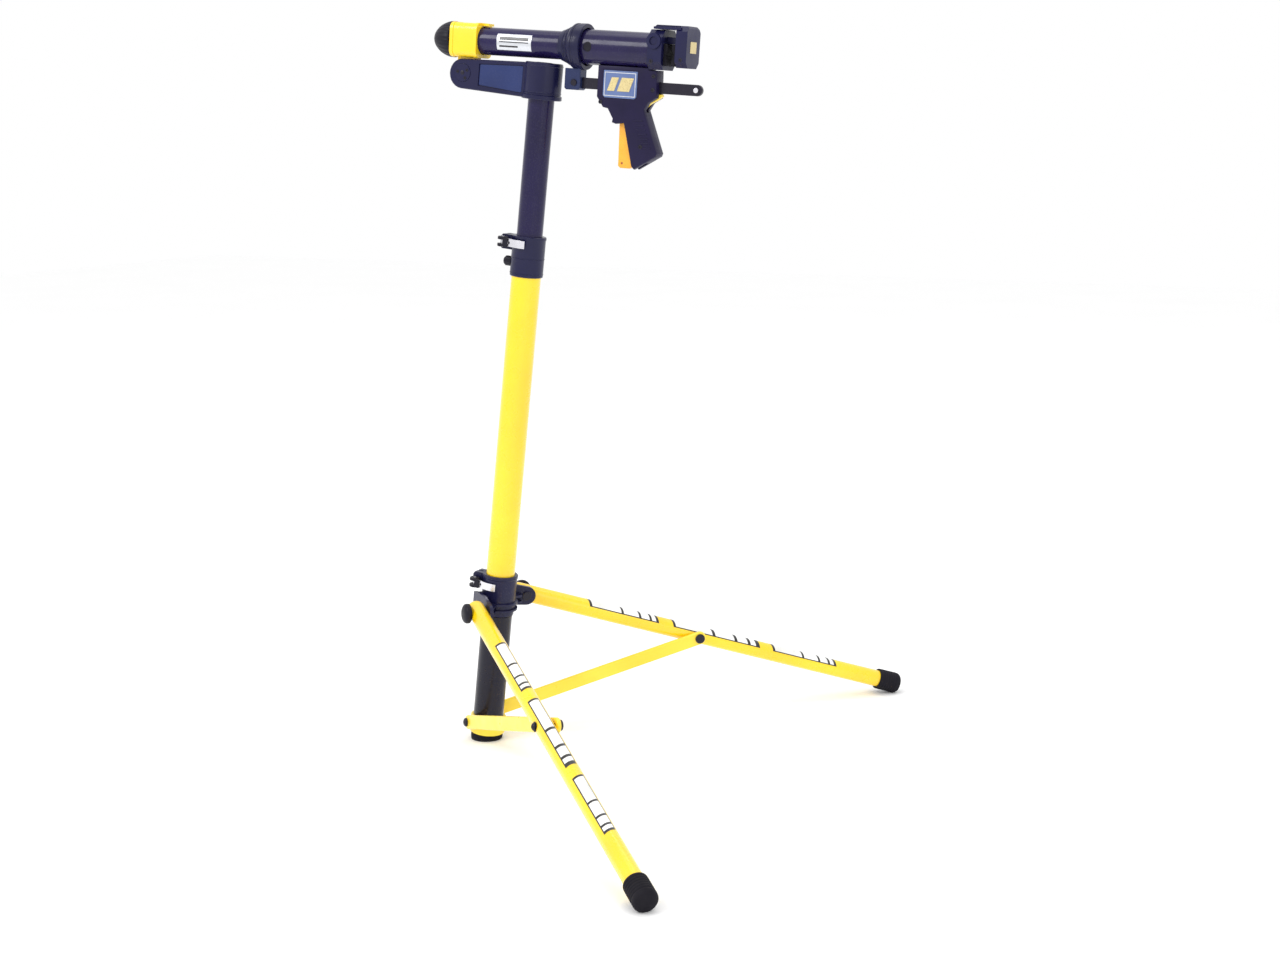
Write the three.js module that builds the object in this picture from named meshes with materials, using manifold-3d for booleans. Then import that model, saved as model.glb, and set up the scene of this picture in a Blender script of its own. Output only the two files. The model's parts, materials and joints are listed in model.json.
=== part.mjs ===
// Folding workshop stand with a spinning pistol-grip clamp head.
// Millimetres, +Z up. Origin: centre of the column foot on the floor.
// +X: the way the column leans and the clamp head points, midway between the two legs.
import * as THREE from 'three';
import { mergeVertices } from 'three/addons/utils/BufferGeometryUtils.js';
import Module from 'manifold-3d';

const wasm = await Module();
wasm.setup();

const D = Math.PI / 180;

// ---- driving dimensions -------------------------------------------------
const LEAN = 6.28 * D;          // column leans toward +X
const MAST_R = 25.4;            // 2 in column
const MAST_RI = 23.6;
const MAST_TOP = 872;
const SLEEVE_R = 27.0;
const SLEEVE_TOP = 236;
const RING_W0 = 13;
const RING_W1 = 44;
const UPPER_R = 22.225;         // 1 3/4 in upper tube
const UPPER_W0 = 560;
const UPPER_W1 = 1189;
const SPLAY = 41.09 * D;        // half angle between the legs
const LEG_R = 15.875;           // 1 1/4 in leg
const LEG_U = 60.2;             // leg hinge, along the leg direction
const LEG_V = 58.55;            // leg centre line, sideways from the column axis
const LEG_W = 257.1;            // leg hinge height along the column
const LEG_DROOP = 13.01 * D;
const LEG_LEN = 785.6;
const BRACE_A = 348.0;          // brace pin, along the leg from the hinge
const BRACE_V = 36.5;           // brace centre plane, sideways
const BRACE_W = 37.5;           // lower brace pivot height along the column
const BRACE_H = 12.7;
const CLAMP_X = -39;            // skewer line of both quick-release clamps
const UP_CLAMP_W = 897;
const LOW_CLAMP_W = 291;
const ARM_X = -143;             // tilt pivot, across from the column axis
const ARM_W = 1169;             // tilt pivot height along the column
const ARM_END_R = 24.8;
const HEAD_SLOPE = 4.0 * D;     // head axis below horizontal
const AXIS_Z = 54.5;            // head axis above the tilt pivot
const INNER_R = 23;
const OUTER_R = 28.5;
const RIM_R = 37.5;
const CUP_X = 16;               // cup position along the head axis
const BAR_Z = -4;
const BAR_H = 9;                // half height of the flat bar
const GRIP_Y = 15;              // half width of the pistol grip

// ---- helpers ------------------------------------------------------------
const mul = (...m) => m.reduce((a, b) => a.clone().multiply(b));
const RY = (a) => new THREE.Matrix4().makeRotationY(a);
const RZ = (a) => new THREE.Matrix4().makeRotationZ(a);
const RX = (a) => new THREE.Matrix4().makeRotationX(a);
const T = (x, y, z) => new THREE.Matrix4().makeTranslation(x, y, z);

const MAST = RY(LEAN);
const LEG = (s) => mul(MAST, RZ(s * SPLAY));
const PIVOT = new THREE.Vector3(ARM_X, 0, ARM_W).applyMatrix4(MAST);
const HEAD = mul(T(PIVOT.x, 0, PIVOT.z), RY(HEAD_SLOPE));

function solid(geo) {
  let g = new THREE.BufferGeometry();
  g.setAttribute('position', geo.getAttribute('position').clone());
  if (geo.index) g.setIndex(geo.index.clone());
  g = mergeVertices(g, 1e-4);
  const p = g.getAttribute('position').array;
  const src = g.index.array;
  const tri = [];
  let vol = 0;
  for (let i = 0; i < src.length; i += 3) {
    const [a, b, c] = [src[i], src[i + 1], src[i + 2]];
    if (a === b || b === c || a === c) continue;
    tri.push(a, b, c);
    const A = [p[3 * a], p[3 * a + 1], p[3 * a + 2]];
    const B = [p[3 * b], p[3 * b + 1], p[3 * b + 2]];
    const C = [p[3 * c], p[3 * c + 1], p[3 * c + 2]];
    vol += A[0] * (B[1] * C[2] - B[2] * C[1]) - A[1] * (B[0] * C[2] - B[2] * C[0]) + A[2] * (B[0] * C[1] - B[1] * C[0]);
  }
  if (vol < 0) for (let i = 0; i < tri.length; i += 3) [tri[i + 1], tri[i + 2]] = [tri[i + 2], tri[i + 1]];
  return new wasm.Manifold(new wasm.Mesh({ numProp: 3, vertProperties: new Float32Array(p), triVerts: new Uint32Array(tri) }));
}

// closed [radius, height] outline turned about Z
function turn(pts, n = 32) {
  const pos = [];
  const idx = [];
  const start = pts.map(([r, z]) => {
    const at = pos.length / 3;
    if (r < 1e-6) { pos.push(0, 0, z); return [at, 1]; }
    for (let i = 0; i < n; i++) pos.push(r * Math.cos((2 * Math.PI * i) / n), r * Math.sin((2 * Math.PI * i) / n), z);
    return [at, n];
  });
  for (let k = 0; k < pts.length; k++) {
    const [a, na] = start[k];
    const [b, nb] = start[(k + 1) % pts.length];
    if (na === 1 && nb === 1) continue;
    for (let i = 0; i < n; i++) {
      const j = (i + 1) % n;
      if (na === 1) idx.push(a, b + j, b + i);
      else if (nb === 1) idx.push(a + i, a + j, b);
      else idx.push(a + i, a + j, b + j, a + i, b + j, b + i);
    }
  }
  const g = new THREE.BufferGeometry();
  g.setAttribute('position', new THREE.Float32BufferAttribute(pos, 3));
  g.setIndex(idx);
  return g;
}
const rod = (r, z0, z1, n = 24) => turn([[0, z0], [r, z0], [r, z1], [0, z1]], n);
const pipe = (ro, ri, z0, z1, n = 32) => turn([[ro, z0], [ro, z1], [ri, z1], [ri, z0]], n);

// outline in the X-Z plane, thickness y0..y1, optional rounded edges
function slab(pts, y0, y1, bevel = 0, seg = 1, holes = []) {
  const shape = new THREE.Shape(pts.map(([x, z]) => new THREE.Vector2(x, z)));
  for (const h of holes) shape.holes.push(new THREE.Path(h.map(([x, z]) => new THREE.Vector2(x, z))));
  const g = new THREE.ExtrudeGeometry(shape, {
    depth: y1 - y0 - 2 * bevel, bevelEnabled: bevel > 0, bevelThickness: bevel, bevelSize: bevel,
    bevelOffset: -bevel, bevelSegments: seg, curveSegments: 8,
  });
  g.applyMatrix4(RX(Math.PI / 2));
  g.applyMatrix4(T(0, y1 - bevel, 0));
  return g;
}
// outline in the X-Y plane, thickness z0..z1
function plate(pts, z0, z1, bevel = 0, seg = 1) {
  const g = new THREE.ExtrudeGeometry(new THREE.Shape(pts.map(([x, y]) => new THREE.Vector2(x, y))), {
    depth: z1 - z0 - 2 * bevel, bevelEnabled: bevel > 0, bevelThickness: bevel, bevelSize: bevel,
    bevelOffset: -bevel, bevelSegments: seg,
  });
  g.applyMatrix4(T(0, 0, z0 + bevel));
  return g;
}
const arc = (cx, cz, r, a0, a1, n) => Array.from({ length: n + 1 }, (_, i) => {
  const a = (a0 + ((a1 - a0) * i) / n) * D;
  return [cx + r * Math.cos(a), cz + r * Math.sin(a)];
});
function brick(x0, x1, y0, y1, z0, z1) {
  const g = new THREE.BoxGeometry(x1 - x0, y1 - y0, z1 - z0);
  g.applyMatrix4(T((x0 + x1) / 2, (y0 + y1) / 2, (z0 + z1) / 2));
  return g;
}
const at = (g, m) => { const h = g.clone(); h.applyMatrix4(m); return h; };
const S = (g, m) => solid(m ? at(g, m) : g);
const alongX = (x, y, z) => mul(T(x, y, z), RY(Math.PI / 2));          // +Z of the part to +X
const alongY = (x, y, z) => mul(T(x, y, z), RX(-Math.PI / 2));         // +Z of the part to +Y

const group = new THREE.Group();
group.name = 'repair_stand';
const YELLOW = 0xf5cf0a, NAVY = 0x3a3a5c, BLACK = 0x1e1e24, STEEL = 0xb9bec4, BLUE = 0x55669c, ORANGE = 0xf0a830;
function add(name, man, frame, colour, rough = 0.45) {
  const out = man.getMesh();
  let g = new THREE.BufferGeometry();
  const n = out.numProp;
  const src = out.vertProperties;
  const pos = new Float32Array((src.length / n) * 3);
  for (let i = 0; i < src.length / n; i++) for (let k = 0; k < 3; k++) pos[3 * i + k] = src[n * i + k];
  g.setAttribute('position', new THREE.BufferAttribute(pos, 3));
  g.setIndex(new THREE.BufferAttribute(new Uint32Array(out.triVerts), 1));
  if (frame) g.applyMatrix4(frame);
  g = g.toNonIndexed();
  g.computeVertexNormals();
  const m = new THREE.Mesh(g, new THREE.MeshStandardMaterial({ color: colour, roughness: rough }));
  m.name = name;
  group.add(m);
}

// ---- column -------------------------------------------------------------
add('mast_tube', S(pipe(MAST_R, MAST_RI, 6.4, MAST_TOP, 32)), MAST, YELLOW);
add('lower_sleeve', S(pipe(SLEEVE_R, MAST_R + 0.3, RING_W1 + 0.5, SLEEVE_TOP, 32)), MAST, NAVY);

const floorCut = S(brick(-900, 900, -900, 900, -200, 0), MAST.clone().invert());
add('column_foot_cap', S(turn([[0, -8], [27.6, -8], [28.4, 3], [28.4, 11], [27.6, 12.6], [25.7, 12.6], [25.7, 6], [0, 6]], 32)).subtract(floorCut), MAST, BLACK);

let ring = S(turn([[30.5, RING_W0], [31.5, RING_W0 + 1], [31.5, RING_W1 - 1], [30.5, RING_W1], [20, RING_W1], [20, RING_W0]], 32));
for (const s of [-1, 1]) {
  ring = ring.add(S(rod(12.7, 0, 9, 24), mul(RZ(s * SPLAY), alongY(0, s > 0 ? 23.1 : -32.1, BRACE_W - 6.5 + 0))));
}
ring = ring.subtract(S(rod(MAST_R + 0.3, 0, 80, 32)));
ring = ring.subtract(S(brick(-60, 60, -60, 60, RING_W1, 80)));
for (const s of [-1, 1]) ring = ring.subtract(S(rod(4.9, 0, 30, 16), mul(RZ(s * SPLAY), alongY(0, s > 0 ? 15 : -45, BRACE_W - 6.5))));
add('strut_ring', ring, MAST, YELLOW);

for (const [s, n] of [[-1, 'front'], [1, 'rear']]) {
  const b = S(turn([[0, 26.6], [4.5, 26.6], [4.5, 40.9], [7.8, 40.9], [7.8, 43.4], [6, 45.2], [3, 46], [0, 46.2]], 20),
    mul(RX(s > 0 ? -Math.PI / 2 : Math.PI / 2)));
  add(`ring_bolt_${n}`, b, mul(LEG(s), T(0, 0, BRACE_W - 6.5)), BLACK);
}

// ---- quick-release hardware, shared by both clamps ----------------------
function ears(w, lo, hi) {
  const bx = (y0, y1) => S(slab([[-22, w - lo], [-45, w - lo], [-48, w - lo + 4], [-48, w + hi - 4], [-45, w + hi], [-22, w + hi]], y0, y1, 0));
  return bx(-12.5, -1.6).add(bx(1.6, 12.5));
}
function skewer(name, w) {
  // rod with a cross pin at the lever end
  const b = S(rod(3, -21.6, 20.5, 16), alongY(CLAMP_X, 0, w)).add(S(rod(2.6, w - 9.4, w + 9.4, 14), T(CLAMP_X, -21.9, 0)));
  add(name, b, MAST, STEEL, 0.3);
}
function nut(name, w) {
  const g = turn([[8.5, 13], [8.5, 17.5], [6.5, 19.2], [3.4, 19.2], [3.4, 13]], 8);
  add(name, S(g, alongY(CLAMP_X, 0, w)), MAST, BLACK);
}
function cam(name, w) {
  let c = S(turn([[0, w - 8.6], [8, w - 8.6], [9, w - 7.4], [9, w + 7.4], [8, w + 8.6], [0, w + 8.6]], 24));
  c = c.add(S(brick(0, 13.5, -9, -2.2, w - 7.4, w + 7.4)));
  c = c.subtract(S(rod(2.95, w - 12, w + 12, 14)));
  c = c.subtract(S(brick(-12, 3.9, -12, 12, w - 3.5, w + 3.5)));
  c = c.subtract(S(brick(9.2, 15, -7.8, -3.5, w - 12, w + 12)));
  add(name, c, mul(MAST, T(CLAMP_X, -21.9, 0)), BLACK);
}
function lever(name, w) {
  const mid = [[9.5, -5.15], [17, -6.6], [24, -9.2], [31, -11.2], [38, -12.0], [44, -11.6], [47.5, -10.4]];
  const t = 1.15;
  const up = [], dn = [];
  mid.forEach(([x, y], i) => {
    const a = mid[Math.max(0, i - 1)], b = mid[Math.min(mid.length - 1, i + 1)];
    const l = Math.hypot(b[0] - a[0], b[1] - a[1]);
    const nx = -(b[1] - a[1]) / l, ny = (b[0] - a[0]) / l;
    up.push([x + nx * t, y + ny * t]);
    dn.push([x - nx * t, y - ny * t]);
  });
  let g = S(plate([...dn, ...up.reverse()], w - 6.6, w + 6.6, 0));
  g = g.subtract(S(rod(2.1, -6, 6, 12), mul(T(15.8, -6, w), RX(Math.PI / 2))));
  add(name, g, mul(MAST, T(CLAMP_X, -21.9, 0)), STEEL, 0.3);
}

// ---- upper clamp --------------------------------------------------------
let uc = S(turn([[27.4, 841], [28.5, 842.2], [28.5, 904], [29.3, 905.2], [29.3, 909], [28.3, 910], [UPPER_R + 0.4, 910], [UPPER_R + 0.4, 872.4], [MAST_R + 0.3, 872.4], [MAST_R + 0.3, 841]], 32));
uc = uc.add(ears(UP_CLAMP_W, 13, 12).subtract(S(rod(26.8, 860, 930, 32))));
uc = uc.subtract(S(brick(-60, -15, -1.6, 1.6, 878, 920)));
uc = uc.subtract(S(rod(3.4, -30, 30, 16), alongY(CLAMP_X, 0, UP_CLAMP_W)));
uc = uc.subtract(S(rod(3.4, -60, -20, 16), alongX(0, 0, 863)));
add('upper_clamp_collar', uc, MAST, NAVY);
add('guide_bush', S(pipe(MAST_RI - 0.3, UPPER_R + 0.3, 846, 871.6, 32)), MAST, BLACK);
skewer('upper_skewer', UP_CLAMP_W);
nut('upper_skewer_nut', UP_CLAMP_W);
cam('upper_lever_cam', UP_CLAMP_W);
lever('upper_lever_arm', UP_CLAMP_W);
{
  const pts = [];
  for (let i = 0; i < 24; i++) { const a = (i / 24) * 360 * D; const r = i % 2 ? 8.7 : 7.9; pts.push([r * Math.cos(a), r * Math.sin(a)]); }
  const k = S(plate(pts, 29.3, 41, 0)).add(S(turn([[0, 40.5], [7.4, 40.5], [6.4, 43.2], [0, 44]], 20))).add(S(rod(3.0, 26.1, 30, 16)));
  add('guide_knob', k, mul(MAST, T(0, 0, 863), RY(-Math.PI / 2)), BLACK);
}

// ---- leg carrier on the column -----------------------------------------
let car = S(turn([[28, 236.6], [29, 237.6], [29, 246.2], [35, 246.8], [35, 250], [30.5, 250.6], [30.5, 257.6], [35, 258.2], [35, 261.6], [30.5, 262.2], [30.5, 303], [31.6, 304.5], [31.6, 308.5], [30.4, 309.6], [20, 309.6], [20, 236.6]], 32));
const wing = [...arc(LEG_U, LEG_W, 17, -90, 70, 9), [34, 279], [8, 278], [-14, 274], [-14, 243], [30, LEG_W - 17]];
for (const s of [-1, 1]) {
  const y = (a, b) => (s > 0 ? [a, b] : [-b, -a]);
  let w = S(slab(wing, ...y(36.2, 42.2), 0));
  w = w.add(S(brick(-14, 16, ...y(18, 36.4), 245, 273)));
  for (const z of [246.2, 258.2]) w = w.add(S(plate([[-14, s * 18], [26, s * 12], [50, s * 26], [50, s * 42], [-14, s * 42]], z, z + 4)));
  w = w.subtract(S(rod(5.35, 20, 60, 20), mul(T(LEG_U, 0, LEG_W), RX(s > 0 ? -Math.PI / 2 : Math.PI / 2))));
  car = car.add(S(brick(-1, 1, -1, 1, 280, 282), T(0, 28 * s, 0)));
  car = car.add(w.transform(RZ(s * SPLAY).toArray()));
}
car = car.add(ears(LOW_CLAMP_W, 12, 16));
car = car.subtract(S(rod(MAST_R + 0.45, 200, 330, 32)));
car = car.subtract(S(brick(-60, -15, -1.6, 1.6, 275, 330)));
car = car.subtract(S(rod(3.4, -30, 30, 16), alongY(CLAMP_X, 0, LOW_CLAMP_W)));
add('leg_collar', car, MAST, NAVY);
skewer('lower_skewer', LOW_CLAMP_W);
nut('lower_skewer_nut', LOW_CLAMP_W);
cam('lower_lever_cam', LOW_CLAMP_W);
lever('lower_lever_arm', LOW_CLAMP_W);

// ---- legs and braces ----------------------------------------------------
for (const [s, n] of [[-1, 'front'], [1, 'rear']]) {
  const F = LEG(s);
  const side = RX(s > 0 ? -Math.PI / 2 : Math.PI / 2);
  const hinge = mul(T(LEG_U, 0, LEG_W), side);
  // carrier side of the leg hinge
  add(`leg_hinge_pin_${n}`, S(turn([[0, 32.6], [8, 32.6], [8, 35.9], [5, 35.9], [5, 80.5], [0, 80.5]], 20), hinge), F, STEEL, 0.3);
  add(`leg_hinge_cap_${n}`, S(turn([[5.35, 74.9], [16.6, 74.9], [17.2, 76], [17.2, 80.5], [15, 84], [9, 86.4], [0, 87], [0, 81], [5.35, 81]], 24), hinge), F, BLACK);
  // leg
  const legM = mul(T(LEG_U, s * LEG_V, LEG_W), RY(Math.PI / 2 + LEG_DROOP));
  const R = LEG_R;
  let leg = S(turn([[0, -25.5], [6, -24.8], [11.5, -22], [14.8, -17.5], [R, -12], [R, 769], [R - 2, 769], [R - 2, -11], [9.5, -19.6], [0, -22.4]], 28), legM);
  leg = leg.subtract(S(rod(5.35, 0, 120, 20), hinge));
  const brace = new THREE.Vector3(LEG_U + BRACE_A * Math.cos(LEG_DROOP), 0, LEG_W - BRACE_A * Math.sin(LEG_DROOP));
  const bm = mul(T(brace.x, 0, brace.z), side);
  leg = leg.subtract(S(rod(3.4, 60, 120, 14), bm));
  add(`leg_tube_${n}`, leg, F, YELLOW);
  let foot = S(turn([[R + 0.3, 741], [18.6, 741], [19.6, 743], [19.9, 778], [18.6, 784], [14.5, 787.4], [0, 788], [0, 770], [R + 0.3, 770]], 32), legM);
  foot = foot.subtract(S(brick(-2000, 2000, -2000, 2000, -200, 0), F.clone().invert()));
  add(`leg_foot_${n}`, foot, F, BLACK);
  add(`leg_bolt_${n}`, S(turn([[0, 69], [3.1, 69], [3.1, 74.8], [6.6, 74.8], [6.2, 77.2], [3.6, 79], [0, 79.5]], 16), bm), F, BLACK);
  // brace
  const L = Math.hypot(brace.x, brace.z - BRACE_W + 6.5);
  const psi = Math.atan2(brace.z - BRACE_W + 6.5, brace.x);
  const out = [...arc(0, 0, BRACE_H, 90, 270, 10), ...arc(L, 0, BRACE_H, -90, 90, 10)];
  const yb = s > 0 ? [BRACE_V - 4, BRACE_V + 4] : [-BRACE_V - 4, -BRACE_V + 4];
  let bar = S(slab(out, ...yb, 2.6, 2));
  bar = bar.subtract(S(rod(4.9, -60, 60, 16), RX(Math.PI / 2)));
  bar = bar.subtract(S(rod(4.4, -60, 60, 16), mul(T(L, 0, 0), RX(Math.PI / 2))));
  add(`strut_bar_${n}`, bar, mul(F, T(0, 0, BRACE_W - 6.5), RY(-psi)), YELLOW);
  add(`strut_pin_${n}`, S(turn([[0, 27.4], [7.5, 27.8], [9, 29.2], [9, 32.1], [4, 32.1], [4, 42.2], [0, 42.2]], 16), bm), F, BLACK);
}

// ---- upper tube and head arm -------------------------------------------
add('upper_tube', S(pipe(UPPER_R, UPPER_R - 2, UPPER_W0, UPPER_W1, 32)), MAST, NAVY);
add('upper_tube_glide', S(turn([[0, 546], [22.2, 546], [23.2, 548], [23.2, 559.6], [UPPER_R - 2.4, 559.6], [UPPER_R - 2.4, 574], [15, 574], [15, 551], [0, 551]], 32)), MAST, BLACK);
{
  // plan width narrows toward the tilt pivot
  const outline = [...arc(ARM_X - 1, ARM_W - 1.5, ARM_END_R, 100, 268, 12), [-30, 1140.5], [0, 1140], [0, 1199], [-40, 1197.5]];
  let arm = S(slab(outline, -21, 21, 1.6, 1));
  const socket = S(turn([[0, 1198.9], [30.5, 1199.6], [32, 1197.6], [32, 1147], [34, 1145.6], [34, 1140.2], [33, 1139], [0, 1139]], 32));
  arm = arm.add(socket);
  const panel = [[-112, 1150.5], [-28, 1145.5], [-28, 1192], [-112, 1187]];
  arm = arm.subtract(S(slab(panel, -23, -18.8))).subtract(S(slab(panel, 18.8, 23)));
  arm = arm.subtract(S(slab([[-180, 1100], [-103, 1100], [-103, 1240], [-180, 1240]], -10, 10)));
  arm = arm.subtract(S(rod(UPPER_R + 0.35, 1130, UPPER_W1 + 0.6, 32)));
  const pin = alongY(ARM_X, 0, ARM_W);
  arm = arm.subtract(S(rod(6.35, -40, 40, 20), pin));
  arm = arm.subtract(S(rod(15.3, -24, -19, 28), pin)).subtract(S(rod(15.3, 19, 24, 28), pin));
  add('head_arm', arm, MAST, NAVY);
  add('tilt_bolt', S(turn([[0, -21.8], [15, -21.8], [15, -19.3], [6, -19.3], [6, 19.2], [0, 19.2]], 28), pin), MAST, NAVY);
  add('tilt_washer', S(turn([[0, 19.5], [15, 19.5], [15, 21.9], [9, 22.6], [0, 22.6]], 28), pin), MAST, NAVY);
}

// ---- clamp head ---------------------------------------------------------
const AX = (x = 0) => alongX(x, 0, AXIS_Z);
{
  const rr = (hy, hz, r, n = 4) => [...arc(hy - r, hz - r, r, 0, 90, n), ...arc(-hy + r, hz - r, r, 90, 180, n), ...arc(-hy + r, -hz + r, r, 180, 270, n), ...arc(hy - r, -hz + r, r, 270, 360, n)];
  // block section: outline in Y-Z, extruded along X
  const block = (hy, hz, r, x0, x1) => S(plate(rr(hz, hy, r), x0, x1, 0), AX());
  let hub = block(27, 28.2, 11, -24.6, 27);
  hub = hub.add(block(28, 29, 12, -24.6, -18.6)).add(block(28, 29, 12, 21, 27));
  hub = hub.add(S(brick(26, 40, -9, 9, AXIS_Z + 24.4, AXIS_Z + 28.2)));
  hub = hub.add(S(slab([...arc(0, 0, 17, 180, 360, 12), [17, 30], [-17, 30]], -9.6, 9.6)));
  hub = hub.subtract(S(rod(INNER_R + 0.4, -60, 60, 40), AX()));
  hub = hub.subtract(S(rod(6.4, -20, 20, 20), alongY(0, 0, 0)));
  add('swivel_hub', hub, HEAD, YELLOW);
}
add('inner_head_tube', S(pipe(INNER_R, INNER_R - 2.5, -24.6, 338, 40), AX()), HEAD, NAVY);
add('spindle_plug', S(turn([[0, -6], [INNER_R - 2.8, -6], [INNER_R - 2.8, -24.6], [22, -24.9], [22, -26.2], [8, -26.2], [8, -55], [0, -55]], 24), AX()), HEAD, STEEL, 0.35);
{
  let k = S(turn([[8.35, -26.8], [29, -26.8], [30, -28], [30, -33], [28.5, -41], [24.5, -50.5], [18, -59], [11, -64.5], [7, -66], [0, -66.4], [0, -56], [8.35, -56]], 36));
  for (let i = 0; i < 12; i++) k = k.subtract(S(rod(2.4, -40, -25, 8), mul(RZ(i * 30 * D), T(31.1, 0, 0))));
  add('lock_knob', k.transform(AX().toArray()), HEAD, BLACK);
}
{
  let c = S(turn([[INNER_R + 0.3, 163], [25, 163], [25.8, 166], [28.6, 172], [28, 174], [32, 178.5], [31.3, 180.5], [36, 185.5], [RIM_R, 188], [RIM_R, 191], [36.4, 192], [36.4, 194.4], [RIM_R, 195.4], [RIM_R, 205.6], [36.4, 207], [30.2, 207], [30.2, 176], [INNER_R + 0.3, 176]], 40), AX(CUP_X));
  add('thrust_collar', c, HEAD, NAVY);
  let b = S(slab([[189, -13], [192, -16], [215, -16], [218, -13], [218, 22], [189, 22]], -12, 12, 1.4, 1));
  b = b.subtract(S(rod(RIM_R + 0.3, 180, 230, 32), AX()));
  b = b.subtract(S(brick(196, 230, -3.3, 3.3, BAR_Z - BAR_H - 0.3, BAR_Z + BAR_H + 0.3)));
  b = b.subtract(S(rod(3.3, -30, -2, 14), alongY(207, 0, BAR_Z)));
  add('bar_block', b, HEAD, BLUE);
  add('block_screw', S(turn([[0, 3.6], [3, 3.6], [3, 12.3], [5.4, 12.3], [5.4, 13.8], [4, 15], [0, 15]], 16), mul(T(207, 0, BAR_Z), RX(Math.PI / 2))), HEAD, STEEL, 0.3);
  let bar = S(slab([[196.4, BAR_Z + BAR_H], [196.4, BAR_Z - BAR_H], ...arc(425, BAR_Z, BAR_H, -90, 90, 10)], -3, 3));
  bar = bar.subtract(S(rod(3.3, -10, 10, 14), alongY(424, 0, BAR_Z)));
  add('slide_bar', bar, HEAD, BLACK);
  add('bar_end_pin', S(turn([[0, -8], [3.6, -8], [4.2, -7], [4.2, -3.4], [3, -3.4], [3, 3.4], [4.2, 3.4], [4.2, 7], [3.6, 8], [0, 8]], 16), alongY(424, 0, BAR_Z)), HEAD, STEEL, 0.3);
}
{
  // hook: plug in the tube end, tongue through the jaw housing, top web and end block
  const ring8 = (hy, zlo, zhi, c, x0, x1) => S(plate([[AXIS_Z + zlo, -hy + c], [AXIS_Z + zlo + c, -hy], [AXIS_Z + zhi - c, -hy], [AXIS_Z + zhi, -hy + c], [AXIS_Z + zhi, hy - c], [AXIS_Z + zhi - c, hy], [AXIS_Z + zlo + c, hy], [AXIS_Z + zlo, hy - c]], x0, x1, 0), mul(RY(Math.PI / 2), new THREE.Matrix4().makeScale(-1, 1, 1)));
  let h = S(turn([[0, 322], [INNER_R - 2.8, 322], [INNER_R - 2.8, 338.4], [24.6, 338.4], [24.6, 341], [0, 341]], 28), AX());
  h = h.add(S(brick(338, 396, -9, 9, AXIS_Z + 12, AXIS_Z + 22.4)));
  h = h.add(ring8(26.5, -25, 41, 9, 392, 412));
  h = h.add(S(brick(352, 396, -20, 20, AXIS_Z + 34.2, AXIS_Z + 41)));
  h = h.add(S(slab([[352, AXIS_Z + 34.2], [400, AXIS_Z + 34.2], [400, AXIS_Z + 38], [352, AXIS_Z + 38]], -26.4, 26.4, 0)));
  h = h.subtract(S(slab([[349, AXIS_Z + 42], [349, AXIS_Z + 36], [356, AXIS_Z + 42]], -40, 40)));
  h = h.subtract(S(slab([[408.6, AXIS_Z + 42], [413, AXIS_Z + 36], [413, AXIS_Z + 42]], -40, 40)));
  add('jaw_hook', h, HEAD, NAVY);
  const z0 = AXIS_Z - 23, z1 = AXIS_Z + 11;
  add('hook_pad', S(slab([[391.7, z0], [391.7, z1], [386, z1], [385, z1 - 1.5], [385, AXIS_Z + 2], [389, AXIS_Z - 6], [385, AXIS_Z - 14], [385, z0 + 1.5], [386, z0]], -23, 23)), HEAD, BLACK, 0.9);
}

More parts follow.
